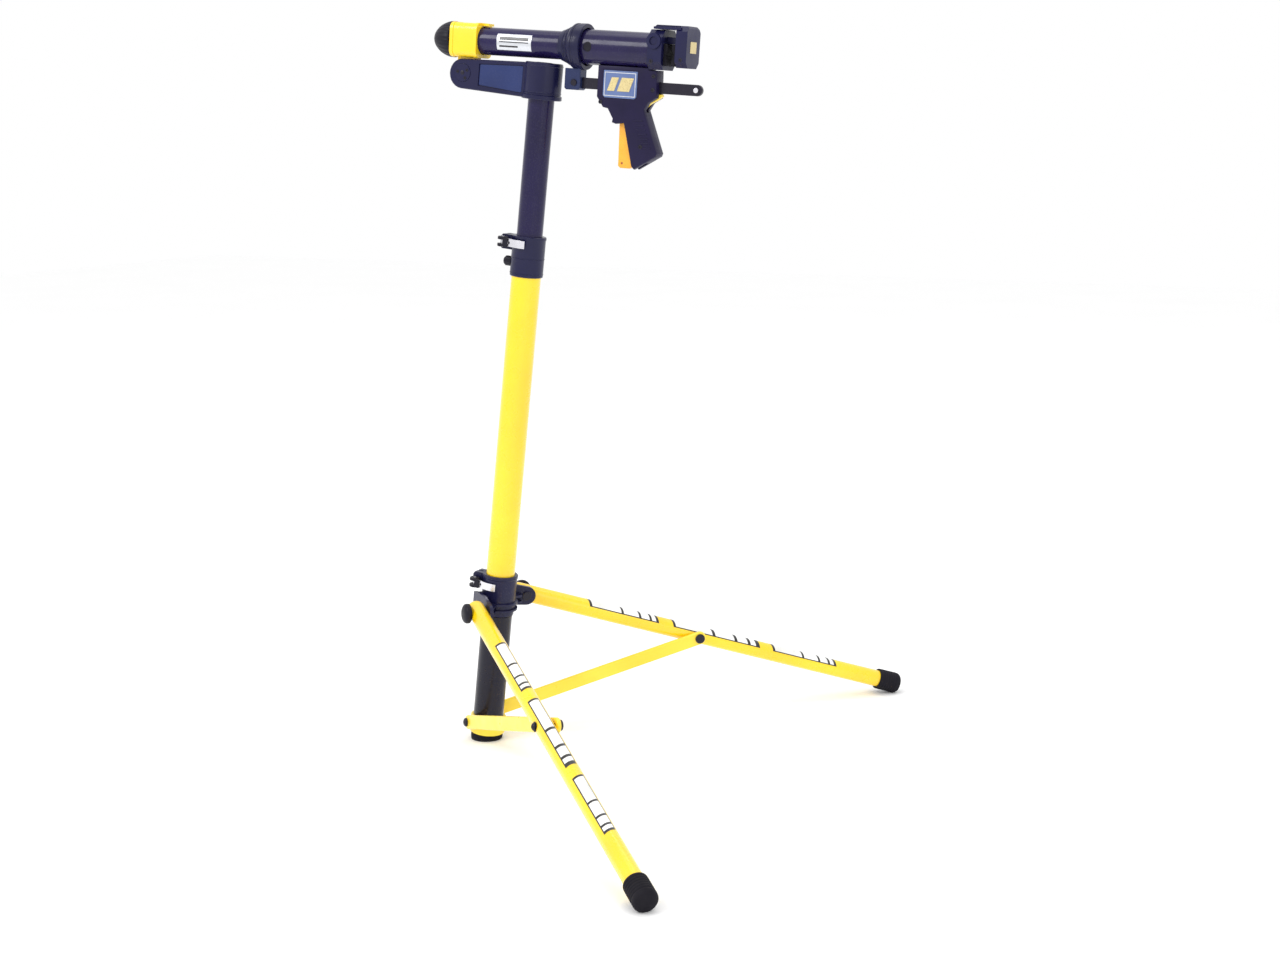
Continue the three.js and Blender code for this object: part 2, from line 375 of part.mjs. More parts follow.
// ---- sliding half: outer tube, hook, pistol grip ------------------------
{
  let t = S(pipe(OUTER_R, OUTER_R - 2.5, 218, 364, 32), AX());
  t = t.subtract(S(rod(8.3, 20, 40, 20), mul(T(236, 0, AXIS_Z), RX(Math.PI / 2))));
  add('outer_head_tube', t, HEAD, NAVY);
  add('tube_plug', S(turn([[0, 24.6], [8, 24.6], [8, 28.2], [6.6, 28.8], [0, 29]], 20), mul(T(236, 0, AXIS_Z), RX(Math.PI / 2))), HEAD, BLACK);
  add('guide_ring', S(pipe(OUTER_R - 2.8, INNER_R + 0.35, 262, 276, 40), AX()), HEAD, BLACK);
  // eight-sided jaw housing on the tube end, with a closed front for the pad
  const oct = (hy, zlo, zhi, c, x0, x1) => S(plate([[AXIS_Z + zlo, -hy + c], [AXIS_Z + zlo + c, -hy], [AXIS_Z + zhi - c, -hy], [AXIS_Z + zhi, -hy + c], [AXIS_Z + zhi, hy - c], [AXIS_Z + zhi - c, hy], [AXIS_Z + zlo + c, hy], [AXIS_Z + zlo, hy - c]], x0, x1, 0), mul(RY(Math.PI / 2), new THREE.Matrix4().makeScale(-1, 1, 1)));
  let h = oct(31, -30, 33.4, 12, 345, 370);
  h = h.add(S(rod(12.5, -34, 34, 24), alongY(356, 0, AXIS_Z + 15)));
  h = h.subtract(S(brick(368, 380, -40, 40, AXIS_Z - 40, AXIS_Z + 80)).intersect(S(brick(370, 380, -40, 40, AXIS_Z - 40, AXIS_Z + 80))));
  h = h.subtract(S(brick(343, 372, -40, 40, AXIS_Z + 33.4, AXIS_Z + 60)));
  h = h.subtract(S(rod(OUTER_R + 0.3, 300, 364.4, 32), AX()));
  h = h.subtract(S(rod(7, -40, -31.6, 20), alongY(356, 0, AXIS_Z + 15))).subtract(S(rod(7, 31.6, 40, 20), alongY(356, 0, AXIS_Z + 15)));
  h = h.subtract(S(brick(360, 375, -9.6, 9.6, AXIS_Z + 11.4, AXIS_Z + 23)));
  add('jaw_housing', h, HEAD, NAVY);
  const z0 = AXIS_Z - 23, z1 = AXIS_Z + 11;
  add('housing_pad', S(slab([[370.3, z0], [370.3, z1], [376, z1], [377, z1 - 1.5], [377, AXIS_Z + 2], [373, AXIS_Z - 6], [377, AXIS_Z - 14], [377, z0 + 1.5], [376, z0]].reverse(), -23, 23)), HEAD, BLACK, 0.9);
}
{
  const body = [[251, 27], [251, -24], [263, -40.5], [272, -42], [282, -58], [281, -64], [288, -66], [303, -64], [321, -133], [326, -137.5], [364, -114], [366, -109], [338, -41], [345, -29], [359, -20], [357, 23.6], [343, 23.6], [343, 27]];
  const trig = [[291, -58], [293, -134], [297, -137], [314, -137], [318, -133], [313, -62], [318, -47], [312, -40], [300, -40], [294, -46]];
  const rel = [[326, -26], [338, -24.5], [350, -20], [359, -14.5], [364, -14], [365, -17.5], [356, -24], [345, -30], [338, -36], [332, -37], [326, -34]];
  const bore = S(rod(OUTER_R + 0.3, 200, 420, 40), AX());
  const barHole = S(brick(240, 370, -3.5, 3.5, BAR_Z - BAR_H - 0.5, BAR_Z + BAR_H + 0.5));
  const trigRoom = S(slab([[286, -52], [286, -140], [322, -140], [346, -132], [328, -60], [326, -38], [310, -33], [292, -35]], -6, 6));
  const relRoom = S(slab([[322, -20], [345, -14.5], [372, -8], [372, -30], [350, -39.5], [336, -46], [322, -40]], -4.4, 4.4));
  const pinT = S(rod(3.3, -9.4, 9.4, 16), alongY(306, 0, -46));
  const pinR = S(rod(2.3, -8.4, 8.4, 12), alongY(330, 0, -30));
  for (const [s, n] of [[-1, 'near'], [1, 'far']]) {
    const y = s < 0 ? [-GRIP_Y, -0.15] : [0.15, GRIP_Y];
    let g = S(slab(body, -GRIP_Y, GRIP_Y, 2.6, 2));
    g = g.subtract(S(brick(200, 420, s < 0 ? -0.15 : -40, s < 0 ? 40 : 0.15, -200, 120)));
    g = g.subtract(bore).subtract(barHole).subtract(trigRoom).subtract(relRoom).subtract(pinT).subtract(pinR);
    if (s < 0) g = g.subtract(S(slab([[262, 20], [262, -21], [266, -25], [320, -25], [324, -21], [324, 20]], -20, -13.2)));
    add(`grip_shell_${n}`, g, HEAD, NAVY);
  }
  add('badge_plate', S(slab([[262.5, 19.5], [262.5, -20.8], [266.3, -24.5], [319.7, -24.5], [323.5, -20.8], [323.5, 19.5]], -15.3, -13.5)), HEAD, BLUE);
  let t = S(slab(trig, -5.5, 5.5, 1.2, 1));
  t = t.subtract(S(rod(3.35, -20, 20, 16), alongY(306, 0, -46)));
  t = t.subtract(S(rod(2, -20, 20, 10), alongY(300, 0, -129)));
  add('trigger_lever', t, HEAD, ORANGE);
  add('trigger_pin', S(rod(3, -9, 9, 16), alongY(306, 0, -46)), HEAD, STEEL, 0.3);
  let r = S(slab(rel, -4, 4, 0.6, 1));
  r = r.subtract(S(rod(2.35, -20, 20, 12), alongY(330, 0, -30)));
  add('release_lever', r, HEAD, YELLOW);
  add('release_pin', S(rod(2, -8, 8, 12), alongY(330, 0, -30)), HEAD, STEEL, 0.3);
}

export default group;
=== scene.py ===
import json
import math
import bpy
import bmesh
from mathutils import Matrix, Vector


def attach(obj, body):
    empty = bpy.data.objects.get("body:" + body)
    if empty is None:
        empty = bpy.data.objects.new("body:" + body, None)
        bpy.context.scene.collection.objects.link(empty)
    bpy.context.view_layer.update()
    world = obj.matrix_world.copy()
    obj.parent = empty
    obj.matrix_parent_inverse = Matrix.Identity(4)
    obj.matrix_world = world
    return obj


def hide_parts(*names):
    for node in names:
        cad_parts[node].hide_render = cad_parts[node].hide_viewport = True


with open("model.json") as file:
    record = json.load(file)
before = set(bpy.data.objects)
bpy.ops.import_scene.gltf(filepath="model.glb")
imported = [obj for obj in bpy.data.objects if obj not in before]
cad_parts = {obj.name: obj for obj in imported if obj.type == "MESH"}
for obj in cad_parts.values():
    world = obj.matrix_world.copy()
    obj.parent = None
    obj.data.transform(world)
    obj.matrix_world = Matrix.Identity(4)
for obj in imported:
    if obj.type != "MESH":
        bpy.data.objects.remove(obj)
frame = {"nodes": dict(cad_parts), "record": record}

D = math.pi / 180
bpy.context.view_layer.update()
scene = bpy.context.scene
NODES = frame["nodes"]
BODY = {n: b for b, ns in frame["record"]["behaviour"]["bodies"].items() for n in ns}
SLOT = {p["node"]: p["material_slot"] for p in frame["record"]["subparts"]}

# ---- frames, in millimetres, shared with the CAD ---------------------------
LEAN = 6.28 * D
SPLAY = 41.09 * D
DROOP = 13.01 * D
MAST = Matrix.Rotation(LEAN, 4, "Y")
PIVOT = MAST @ Vector((-143, 0, 1169))
HEAD = Matrix.Translation(PIVOT) @ Matrix.Rotation(4 * D, 4, "Y")
AXIS_Z = 54.5


def T(x, y, z):
    return Matrix.Translation((x, y, z))


def RX(a):
    return Matrix.Rotation(a, 4, "X")


def RY(a):
    return Matrix.Rotation(a, 4, "Y")


def RZ(a):
    return Matrix.Rotation(a, 4, "Z")


def leg_frame(s):
    return MAST @ RZ(s * SPLAY)


def along_x(x, y, z):
    return T(x, y, z) @ RY(math.pi / 2)


def along_y(x, y, z):
    return T(x, y, z) @ RX(-math.pi / 2)


AX = HEAD @ along_x(0, 0, AXIS_Z)


def arc(cx, cz, r, a0, a1, n):
    return [(cx + r * math.cos((a0 + (a1 - a0) * i / n) * D), cz + r * math.sin((a0 + (a1 - a0) * i / n) * D)) for i in range(n + 1)]


# ---- materials --------------------------------------------------------------
def srgb(r, g, b):
    def f(c):
        c /= 255
        return c / 12.92 if c <= 0.04045 else ((c + 0.055) / 1.055) ** 2.4
    return (f(r), f(g), f(b), 1)


def node(nt, kind, **kw):
    n = nt.nodes.new(kind)
    for k, v in kw.items():
        if k.startswith("in_"):
            n.inputs[int(k[3:])].default_value = v
        else:
            setattr(n, k, v)
    return n


def noise(nt, co, scale, detail=4.0, rough=0.55, stretch=None):
    src = co
    if stretch:
        m = nt.nodes.new("ShaderNodeMapping")
        m.inputs["Scale"].default_value = stretch
        nt.links.new(co, m.inputs["Vector"])
        src = m.outputs[0]
    n = nt.nodes.new("ShaderNodeTexNoise")
    n.inputs["Scale"].default_value = scale
    n.inputs["Detail"].default_value = detail
    n.inputs["Roughness"].default_value = rough
    nt.links.new(src, n.inputs["Vector"])
    return n.outputs["Fac"]


def ramp(nt, fac, stops):
    r = nt.nodes.new("ShaderNodeValToRGB")
    el = r.color_ramp.elements
    el[0].position, el[0].color = stops[0]
    el[1].position, el[1].color = stops[-1]
    for p, c in stops[1:-1]:
        e = el.new(p)
        e.color = c
    nt.links.new(fac, r.inputs[0])
    return r.outputs[0]


def mixc(nt, fac, a, b):
    m = nt.nodes.new("ShaderNodeMix")
    m.data_type = "RGBA"
    for val, sock in ((fac, m.inputs[0]), (a, m.inputs[6]), (b, m.inputs[7])):
        if isinstance(val, (float, int, tuple)):
            sock.default_value = val
        else:
            nt.links.new(val, sock)
    return m.outputs[2]


def mapr(nt, fac, lo, hi, a=0.0, b=1.0):
    m = nt.nodes.new("ShaderNodeMapRange")
    m.inputs[1].default_value, m.inputs[2].default_value = a, b
    m.inputs[3].default_value, m.inputs[4].default_value = lo, hi
    nt.links.new(fac, m.inputs[0])
    return m.outputs[0]


def bump(nt, height, strength, dist, prev=None):
    b = nt.nodes.new("ShaderNodeBump")
    b.inputs["Strength"].default_value = strength
    b.inputs["Distance"].default_value = dist
    nt.links.new(height, b.inputs["Height"])
    if prev is not None:
        nt.links.new(prev, b.inputs["Normal"])
    return b.outputs[0]


def shade(c, k):
    return (min(c[0] * k, 1), min(c[1] * k, 1), min(c[2] * k, 1), 1)


def start(name):
    m = bpy.data.materials.new(name)
    m.use_nodes = True
    nt = m.node_tree
    bs = nt.nodes["Principled BSDF"]
    co = nt.nodes.new("ShaderNodeTexCoord").outputs["Object"]
    return m, nt, bs, co


def paint(name, col, rough=0.24, coat=0.6, grain=0.0, peel=0.035, edge_wear_and_highlight=0.35, low=None, spec=0.5):
    m, nt, bs, co = start(name)
    broad = noise(nt, co, 7.0, 5.0)
    fine = noise(nt, co, 160.0, 6.0, 0.7)
    c1 = mixc(nt, mapr(nt, broad, 0, 1, 0.35, 0.65), low or shade(col, 0.9), shade(col, 1.04))
    c2 = mixc(nt, mapr(nt, fine, 0.0, 0.12, 0.45, 0.8), c1, shade(col, 0.78))
    # rubbed edges: convex edges turn lighter and greyer, partly real paint wear and partly a painted highlight
    geo = nt.nodes.new("ShaderNodeNewGeometry").outputs["Pointiness"]
    edge = mapr(nt, geo, 0.0, edge_wear_and_highlight, 0.53, 0.62)
    scuff = mapr(nt, noise(nt, co, 420.0, 3.0, 0.8), 0.0, 1.0, 0.5, 0.72)
    mm = nt.nodes.new("ShaderNodeMath")
    mm.operation = "MULTIPLY"
    nt.links.new(edge, mm.inputs[0])
    nt.links.new(scuff, mm.inputs[1])
    c3 = mixc(nt, mm.outputs[0], c2, mixc(nt, 0.35, shade(col, 1.25), (0.5, 0.5, 0.52, 1)))
    nt.links.new(c3, bs.inputs["Base Color"])
    nt.links.new(mapr(nt, noise(nt, co, 34.0, 5.0), rough - 0.06, rough + 0.11, 0.3, 0.7), bs.inputs["Roughness"])
    bs.inputs["Specular IOR Level"].default_value = spec
    bs.inputs["Coat Weight"].default_value = coat
    bs.inputs["Coat Roughness"].default_value = 0.09
    b = bump(nt, noise(nt, co, 420.0, 2.0), peel, 0.0004)
    if grain:
        b = bump(nt, noise(nt, co, 1100.0, 5.0, 0.7), grain, 0.0004, b)
    nt.links.new(b, bs.inputs["Normal"])
    return m


def plastic(name, col, rough=0.45, grain=0.12, spec=0.5, coat=0.0):
    m, nt, bs, co = start(name)
    c = mixc(nt, mapr(nt, noise(nt, co, 18.0, 6.0), 0, 1, 0.35, 0.65), shade(col, 0.85), shade(col, 1.15))
    dust = mapr(nt, noise(nt, co, 260.0, 5.0, 0.75), 0.0, 0.16, 0.5, 0.78)
    c = mixc(nt, dust, c, shade(col, 1.8))
    nt.links.new(c, bs.inputs["Base Color"])
    nt.links.new(mapr(nt, noise(nt, co, 55.0, 4.0), rough - 0.07, rough + 0.09, 0.3, 0.7), bs.inputs["Roughness"])
    bs.inputs["Specular IOR Level"].default_value = spec
    bs.inputs["Coat Weight"].default_value = coat
    vor = nt.nodes.new("ShaderNodeTexVoronoi")
    vor.inputs["Scale"].default_value = 900.0
    nt.links.new(co, vor.inputs["Vector"])
    b = bump(nt, vor.outputs["Distance"], grain, 0.0003)
    b = bump(nt, noise(nt, co, 90.0, 3.0), 0.05, 0.0006, b)
    nt.links.new(b, bs.inputs["Normal"])
    return m


def metal(name, col, rough=0.26, stretch=(30, 30, 900), brush=0.10):
    m, nt, bs, co = start(name)
    line = noise(nt, co, 3.0, 4.0, 0.6, stretch)
    c = mixc(nt, mapr(nt, line, 0, 1, 0.3, 0.7), shade(col, 0.84), shade(col, 1.06))
    c = mixc(nt, mapr(nt, noise(nt, co, 45.0, 5.0, 0.7), 0.0, 0.25, 0.52, 0.8), c, shade(col, 0.55))
    nt.links.new(c, bs.inputs["Base Color"])
    bs.inputs["Metallic"].default_value = 1.0
    nt.links.new(mapr(nt, line, rough - 0.07, rough + 0.14, 0.3, 0.7), bs.inputs["Roughness"])
    nt.links.new(bump(nt, line, brush, 0.0002), bs.inputs["Normal"])
    return m


YEL = srgb(255, 216, 0)
M = {
    "yellow_paint": paint("yellow_paint", YEL, 0.26, 0.7, low=srgb(252, 205, 0)),
    "yellow_strut": paint("yellow_strut", srgb(255, 224, 58), 0.32, 0.45, low=srgb(250, 212, 38)),
    "navy_tube": paint("navy_tube", srgb(28, 20, 66), 0.20, 0.22, edge_wear_and_highlight=0.10, low=srgb(20, 14, 52), spec=0.22),
    "navy_sleeve": paint("navy_sleeve", srgb(18, 15, 36), 0.26, 0.22, edge_wear_and_highlight=0.10, low=srgb(13, 11, 28), spec=0.22),
    "navy_casting": paint("navy_casting", srgb(24, 24, 62), 0.32, 0.14, grain=0.12, peel=0.06, edge_wear_and_highlight=0.14, low=srgb(18, 18, 50), spec=0.22),
    "blue_face": paint("blue_face", srgb(36, 50, 100), 0.38, 0.12, grain=0.2, peel=0.08, edge_wear_and_highlight=0.2, low=srgb(26, 38, 82), spec=0.25),
    "yellow_casting": paint("yellow_casting", srgb(255, 214, 34), 0.34, 0.35, grain=0.10, peel=0.06, low=srgb(250, 202, 20)),
    "black_rubber": plastic("black_rubber", srgb(22, 20, 28), 0.72, 0.25, 0.18),
    "black_plastic": plastic("black_plastic", srgb(22, 20, 32), 0.42, 0.14, 0.22),
    "black_steel": paint("black_steel", srgb(26, 22, 38), 0.32, 0.15, grain=0.05, edge_wear_and_highlight=0.25, spec=0.25),
    "bright_steel": metal("bright_steel", (0.80, 0.79, 0.84, 1), 0.24),
    "navy_plastic": plastic("navy_plastic", srgb(24, 18, 52), 0.40, 0.16, 0.2, 0.04),
    "blue_casting": paint("blue_casting", srgb(36, 48, 92), 0.36, 0.14, grain=0.16, peel=0.07, low=srgb(28, 38, 76), spec=0.25),
    "blue_plate": paint("blue_plate", srgb(92, 112, 160), 0.30, 0.4, grain=0.03, edge_wear_and_highlight=0.2, low=srgb(78, 98, 148)),
    "orange_plastic": plastic("orange_plastic", srgb(246, 172, 48), 0.30, 0.06, 0.5, 0.3),
    "yellow_plastic": plastic("yellow_plastic", srgb(250, 214, 70), 0.30, 0.06, 0.5, 0.3),
    "silver_label": metal("silver_label", (0.72, 0.74, 0.78, 1), 0.34, (400, 30, 30), 0.05),
    "gold": metal("gold", (0.80, 0.66, 0.34, 1), 0.30, (200, 200, 200), 0.05),
    "decal_white": plastic("decal_white", srgb(240, 240, 236), 0.30, 0.02, 0.5, 0.4),
    "decal_black": plastic("decal_black", srgb(24, 22, 26), 0.30, 0.02, 0.5, 0.4),
}
for sl in ("yellow_paint", "yellow_strut", "navy_tube", "bright_steel", "black_plastic"):
    M[sl].name = sl


# ---- mesh helpers -------------------------------------------------------------
def finish_mesh(name, me, body, mat, nodes=(), angle=34, bevel=0.0, seg=2):
    me.materials.append(M[mat])
    me.polygons.foreach_set("use_smooth", [True] * len(me.polygons))
    me.set_sharp_from_angle(angle=angle * D)
    ob = bpy.data.objects.new(name, me)
    scene.collection.objects.link(ob)
    if bevel:
        b = ob.modifiers.new("edge", "BEVEL")
        b.width = bevel / 1000
        b.segments = seg
        b.limit_method = "ANGLE"
        b.angle_limit = 38 * D
        b.use_clamp_overlap = True
        b.harden_normals = True
    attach(ob, body)
    if nodes:
        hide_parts(*nodes)
    return ob


def make(verts, faces, mat4):
    me = bpy.data.meshes.new("m")
    k = Matrix.Scale(0.001, 4)
    me.from_pydata([tuple((k @ (mat4 @ Vector(v)))) for v in verts], [], faces)
    bm = bmesh.new()
    bm.from_mesh(me)
    bmesh.ops.recalc_face_normals(bm, faces=bm.faces)
    bm.to_mesh(me)
    bm.free()
    me.update()
    return me


def lathe_data(pts, n=96):
    verts, faces, idx = [], [], []
    for r, z in pts:
        at = len(verts)
        if abs(r) < 1e-6:
            verts.append((0, 0, z))
            idx.append((at, 1))
        else:
            for i in range(n):
                a = 2 * math.pi * i / n
                verts.append((r * math.cos(a), r * math.sin(a), z))
            idx.append((at, n))
    for k in range(len(pts)):
        a, na = idx[k]
        b, nb = idx[(k + 1) % len(pts)]
        if na == 1 and nb == 1:
            continue
        for i in range(n):
            j = (i + 1) % n
            if na == 1:
                faces.append((a, b + j, b + i))
            elif nb == 1:
                faces.append((a + i, a + j, b))
            else:
                faces.append((a + i, a + j, b + j, b + i))
    return verts, faces


def lathe(name, pts, mat4, body, mat, nodes=(), n=96, angle=34, clamp=False):
    v, f = lathe_data(pts, n)
    me = make(v, f, mat4)
    if clamp:
        for p in me.vertices:
            if p.co.z < 0:
                p.co.z = 0
    return finish_mesh(name, me, body, mat, nodes, angle)


def slab(name, pts, y0, y1, mat4, body, mat, nodes=(), bevel=0.4, seg=2, angle=34):
    n = len(pts)
    v = [(x, y0, z) for x, z in pts] + [(x, y1, z) for x, z in pts]
    f = [tuple(range(n)), tuple(range(2 * n - 1, n - 1, -1))]
    f += [(i, (i + 1) % n, n + (i + 1) % n, n + i) for i in range(n)]
    return finish_mesh(name, make(v, f, mat4), body, mat, nodes, angle, bevel, seg)


def patch_data(R, t, s0, s1, a0, a1, skew=0.0, na=10, lift=0.0, taper=0.0):
    """a thin curved plate lying on a tube of radius R, from s0 to s1 along it and a0 to a1 degrees round it"""
    verts, faces = [], []
    mid = (a0 + a1) / 2
    for r in (R + lift, R + lift + t):
        for j in range(na + 1):
            a = a0 + (a1 - a0) * j / na
            sh = skew * (a - mid) * D * R
            for s in (s0 + taper * (j / na), s1 - taper * (j / na)):
                verts.append((r * math.cos(a * D), r * math.sin(a * D), s + sh))
    h = 2 * (na + 1)
    for j in range(na):
        b = 2 * j
        faces.append((b, b + 1, b + 3, b + 2))
        faces.append((h + b, h + b + 2, h + b + 3, h + b + 1))
        faces.append((b, b + 2, h + b + 2, h + b))
        faces.append((b + 1, h + b + 1, h + b + 3, b + 3))
    faces.append((0, h, h + 1, 1))
    e = 2 * na
    faces.append((e, e + 1, h + e + 1, h + e))
    return verts, faces


def join(parts):
    V, F = [], []
    for v, f in parts:
        o = len(V)
        V += v
        F += [tuple(i + o for i in q) for q in f]
    return V, F


def box_data(x0, x1, y0, y1, z0, z1):
    v = [(x, y, z) for x in (x0, x1) for y in (y0, y1) for z in (z0, z1)]
    f = [(0, 1, 3, 2), (4, 6, 7, 5), (0, 4, 5, 1), (2, 3, 7, 6), (0, 2, 6, 4), (1, 5, 7, 3)]
    return v, f


def soften(n, mat=None, bevel=0.35, angle=34, flat=1.0, seg=2, suffix="_skin"):
    """the CAD node's own shape, welded, with smooth rounds and softened edges"""
    src = NODES[n].data
    me = src.copy()
    me.materials.clear()
    bm = bmesh.new()
    bm.from_mesh(me)
    bmesh.ops.remove_doubles(bm, verts=bm.verts, dist=2e-6)
    bmesh.ops.dissolve_limit(bm, angle_limit=flat * D, verts=bm.verts, edges=bm.edges)
    bm.to_mesh(me)
    bm.free()
    for att in list(me.attributes):
        if att.name in ("custom_normal",):
            me.attributes.remove(att)
    return finish_mesh(n + suffix, me, BODY[n], mat or SLOT[n], (n,), angle, bevel, seg)


# ---- column ---------------------------------------------------------------------
R = 25.4
lathe("mast_skin", [(R - 0.4, 6.4), (R, 6.9), (R, 871.4), (R - 0.5, 872), (23.6, 872), (23.6, 6.4)], MAST, "column", "yellow_paint", ("mast_tube",))
lathe("sleeve_skin", [(26.6, 44.5), (27, 44.9), (27, 233), (27.5, 233.6), (27.5, 235.4), (27, 236), (25.7, 236), (25.7, 44.5)], MAST, "column", "navy_sleeve", ("lower_sleeve",))
lathe("column_foot_skin", [(0, -8), (26.6, -8), (27.8, -2), (28.4, 3), (28.4, 5), (27.9, 5.5), (28.4, 6), (28.4, 8), (27.9, 8.5), (28.4, 9), (28.4, 11), (27.9, 12.2), (27.2, 12.6), (25.7, 12.6), (25.7, 6), (0, 6)], MAST, "column", "black_rubber", ("column_foot_cap",), clamp=True, angle=50)
soften("strut_ring", "yellow_strut", 0.5)
for s, n in ((-1, "front"), (1, "rear")):
    side = RX(-math.pi / 2 if s > 0 else math.pi / 2)
    F = leg_frame(s)
    lathe(f"ring_bolt_{n}_skin", [(0, 26.6), (4.5, 26.6), (4.5, 40.9), (7.4, 40.9), (7.8, 41.4), (7.8, 43.2), (7, 44.4), (5.6, 45.4), (3.4, 45.9), (3.0, 45.9), (3.0, 44.2), (0, 44.2)], F @ T(0, 0, 31) @ side, "column", "black_steel", (f"ring_bolt_{n}",), 48)

for n in ("upper_clamp_collar", "leg_collar"):
    soften(n, None, 0.5)
for n in ("upper_skewer", "lower_skewer", "upper_skewer_nut", "lower_skewer_nut", "upper_lever_cam", "lower_lever_cam"):
    soften(n, None, 0.35)
for n in ("upper_lever_arm", "lower_lever_arm"):
    soften(n, None, 0.45)
soften("guide_knob", None, 0.3)
soften("guide_bush", None, 0.2)
# rolled line and parting flash round the upper clamp
for z in (846.5, 872.4):
    lathe(f"upper_clamp_line_{int(z)}", [(28.45, z - 0.7), (28.95, z - 0.4), (28.95, z + 0.4), (28.45, z + 0.7)], MAST, "column", "navy_casting", n=72)
lathe("guide_knob_washer", [(3.2, 28.45), (5.8, 28.45), (5.8, 29.2), (3.2, 29.2)], MAST @ T(0, 0, 863) @ RY(-math.pi / 2), "column", "bright_steel", n=40)

# ---- legs -------------------------------------------------------------------------
for s, n in ((-1, "front"), (1, "rear")):
    F = leg_frame(s)
    side = RX(-math.pi / 2 if s > 0 else math.pi / 2)
    hinge = F @ T(60.2, 0, 257.1) @ side
    body = n + "_leg"
    LM = F @ T(60.2, s * 58.55, 257.1) @ RY(math.pi / 2 + DROOP)
    r = 15.875
    dome = [(0, -25.5), (3, -25.4), (6, -24.8), (9, -23.6), (11.5, -22), (13.4, -19.9), (14.8, -17.5), (15.5, -15), (r, -12)]
    lathe(f"leg_tube_{n}_skin", dome + [(r, 769), (r - 2, 769), (r - 2, -11), (9.5, -19.6), (0, -22.4)], LM, body, "yellow_paint", (f"leg_tube_{n}",), 72)
    cap = [(r + 0.3, 741), (18.4, 741), (19.2, 741.8), (19.6, 743.2)]
    for k in range(6):
        z = 747 + 5.2 * k
        cap += [(19.75, z), (19.25, z + 0.7), (19.25, z + 1.5), (19.8, z + 2.2)]
    cap += [(19.9, 778), (19.5, 781.5), (18.6, 784.2), (17, 786), (14.5, 787.4), (0, 788), (0, 770), (r + 0.3, 770)]
    lathe(f"leg_foot_{n}_skin", cap, LM, body, "black_rubber", (f"leg_foot_{n}",), 72, clamp=True, angle=50)
    lathe(f"hinge_cap_{n}_skin", [(5.35, 74.9), (16.2, 74.9), (17, 75.5), (17.2, 76.4), (17.2, 80.2), (16.6, 82.2), (15, 84), (12.4, 85.5), (9, 86.5), (5, 86.9), (0, 87), (0, 81), (5.35, 81)], hinge, "leg_carrier", "black_plastic", (f"leg_hinge_cap_{n}",), 64, angle=50)
    lathe(f"hinge_pin_{n}_skin", [(0, 32.6), (7.6, 32.6), (8, 33), (8, 35.9), (5, 35.9), (5, 80.5), (0, 80.5)], hinge, "leg_carrier", "black_steel", (f"leg_hinge_pin_{n}",), 48)
    bu = 60.2 + 348.0 * math.cos(DROOP)
    bw = 257.1 - 348.0 * math.sin(DROOP)
    bm4 = F @ T(bu, 0, bw) @ side
    lathe(f"leg_bolt_{n}_skin", [(0, 69), (3.1, 69), (3.1, 74.8), (6.4, 74.8), (6.6, 75.2), (6.5, 76.4), (5.6, 78), (3.6, 79.2), (2.4, 79.5), (2.2, 78.2), (0, 78.2)], bm4, body, "black_steel", (f"leg_bolt_{n}",), 40)
    lathe(f"leg_seat_{n}", [(4.6, 73.6), (8.4, 73.9), (8.4, 74.7), (4.6, 74.7)], bm4, body, "black_plastic", n=40)
    sb = n + "_strut"
    L = math.hypot(bu, bw - 31)
    psi = math.atan2(bw - 31, bu)
    SM = F @ T(0, 0, 31) @ RY(-psi)
    out = arc(0, 0, 12.7, 90, 270, 20) + arc(L, 0, 12.7, -90, 90, 20)
    yc = s * 36.5
    slab(f"strut_bar_{n}_skin", out, yc - 4, yc + 4, SM, sb, "yellow_strut", (f"strut_bar_{n}",), bevel=3.4, seg=6, angle=60)
    lathe(f"strut_pin_{n}_skin", [(0, 27.4), (6.6, 27.6), (8.2, 28.3), (9, 29.4), (9, 32.1), (4, 32.1), (4, 42.2), (0, 42.2)], bm4, sb, "black_steel", (f"strut_pin_{n}",), 40)
    # pressed shallow dish round each pivot of the brace
    for k, x in enumerate((0, L)):
        lathe(f"strut_dish_{n}_{k}", [(7.4, -0.15), (8.6, 0.35), (9.8, -0.15)], SM @ T(x, yc + s * 4.0, 0) @ side, sb, "yellow_strut", n=48)

    # graphic along the tube: plain slanted stripes of falling length on a black band, three times
    centre = 188 if s < 0 else 205
    blk, wht = [], []
    for g0, g1 in ((122, 262), (292, 474), (502, 640)):
        span = g1 - g0
        blk.append(patch_data(r, 0.10, g0, g1, centre - 39, centre + 39, 0.28, 14, 0.05))
        at = g0 + 5
        for part in (0.42, 0.22, 0.12, 0.06):
            wht.append(patch_data(r, 0.10, at, at + part * span, centre - 32, centre + 32, 0.28, 14, 0.16))
            at += part * span + 0.035 * span
    v, f = join(blk)
    finish_mesh(f"leg_graphic_black_{n}", make(v, f, LM), body, "decal_black", angle=60)
    v, f = join(wht)
    finish_mesh(f"leg_graphic_white_{n}", make(v, f, LM), body, "decal_white", angle=60)

